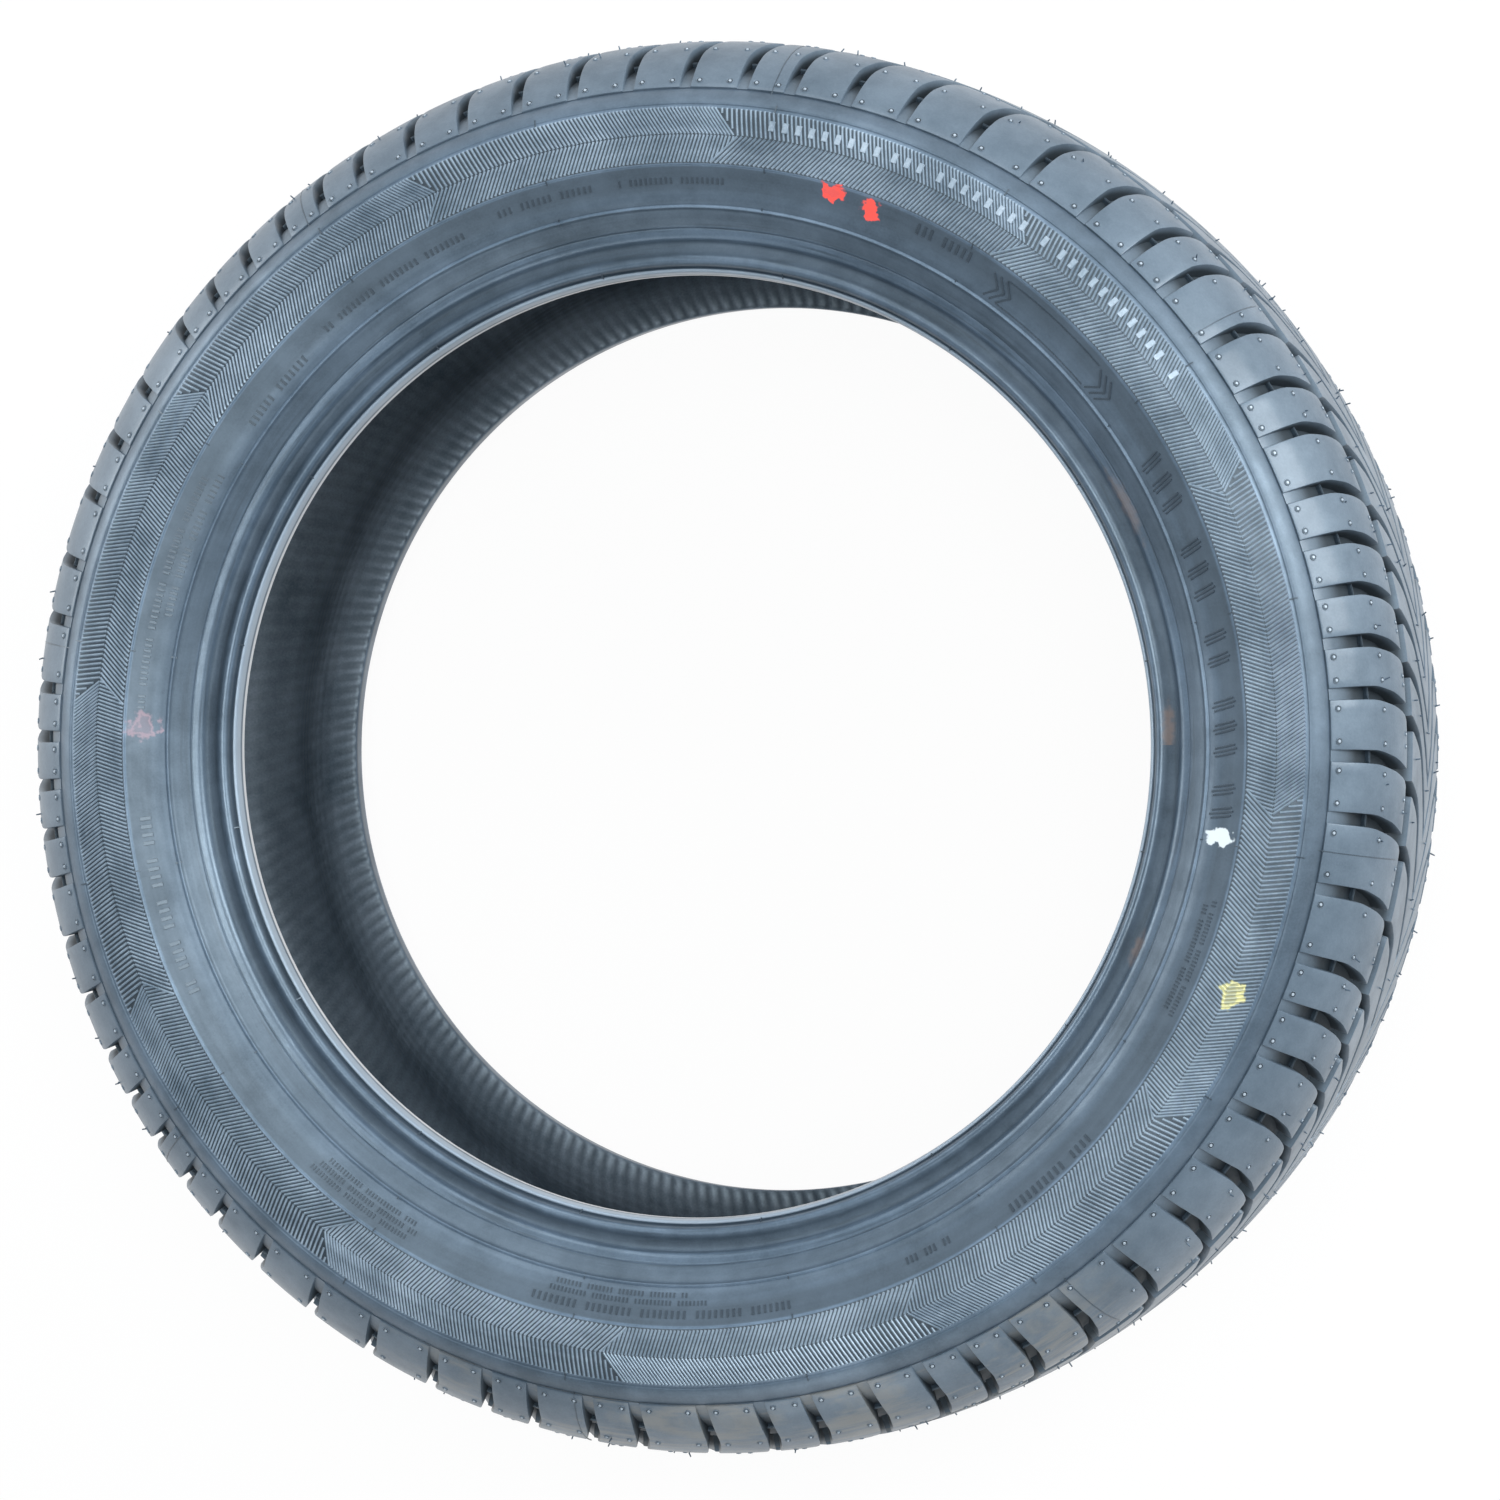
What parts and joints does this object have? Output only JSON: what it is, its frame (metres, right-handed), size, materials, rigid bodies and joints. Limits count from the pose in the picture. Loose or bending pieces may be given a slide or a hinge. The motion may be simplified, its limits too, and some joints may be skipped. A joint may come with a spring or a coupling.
{
  "type": "car tyre",
  "caption": "Radial passenger-car tyre off its wheel: V-pattern tread with curved shoulder blocks, serrated sidewall band and open beads for a 15-inch rim.",
  "frame": {"origin": "on the turning axis at the mid-plane of the tread", "axes": "Z is the turning axis, +Z out of the pictured sidewall; +Y is up in the picture and +X is right; the tyre lies on its other sidewall"},
  "size_m": [0.582, 0.582, 0.2024],
  "materials": {
    "tyre": "satin moulded rubber, cool dark grey"
  },
  "bodies": {
    "root": {"tyre": "tyre"}
  },
  "joints": []
}
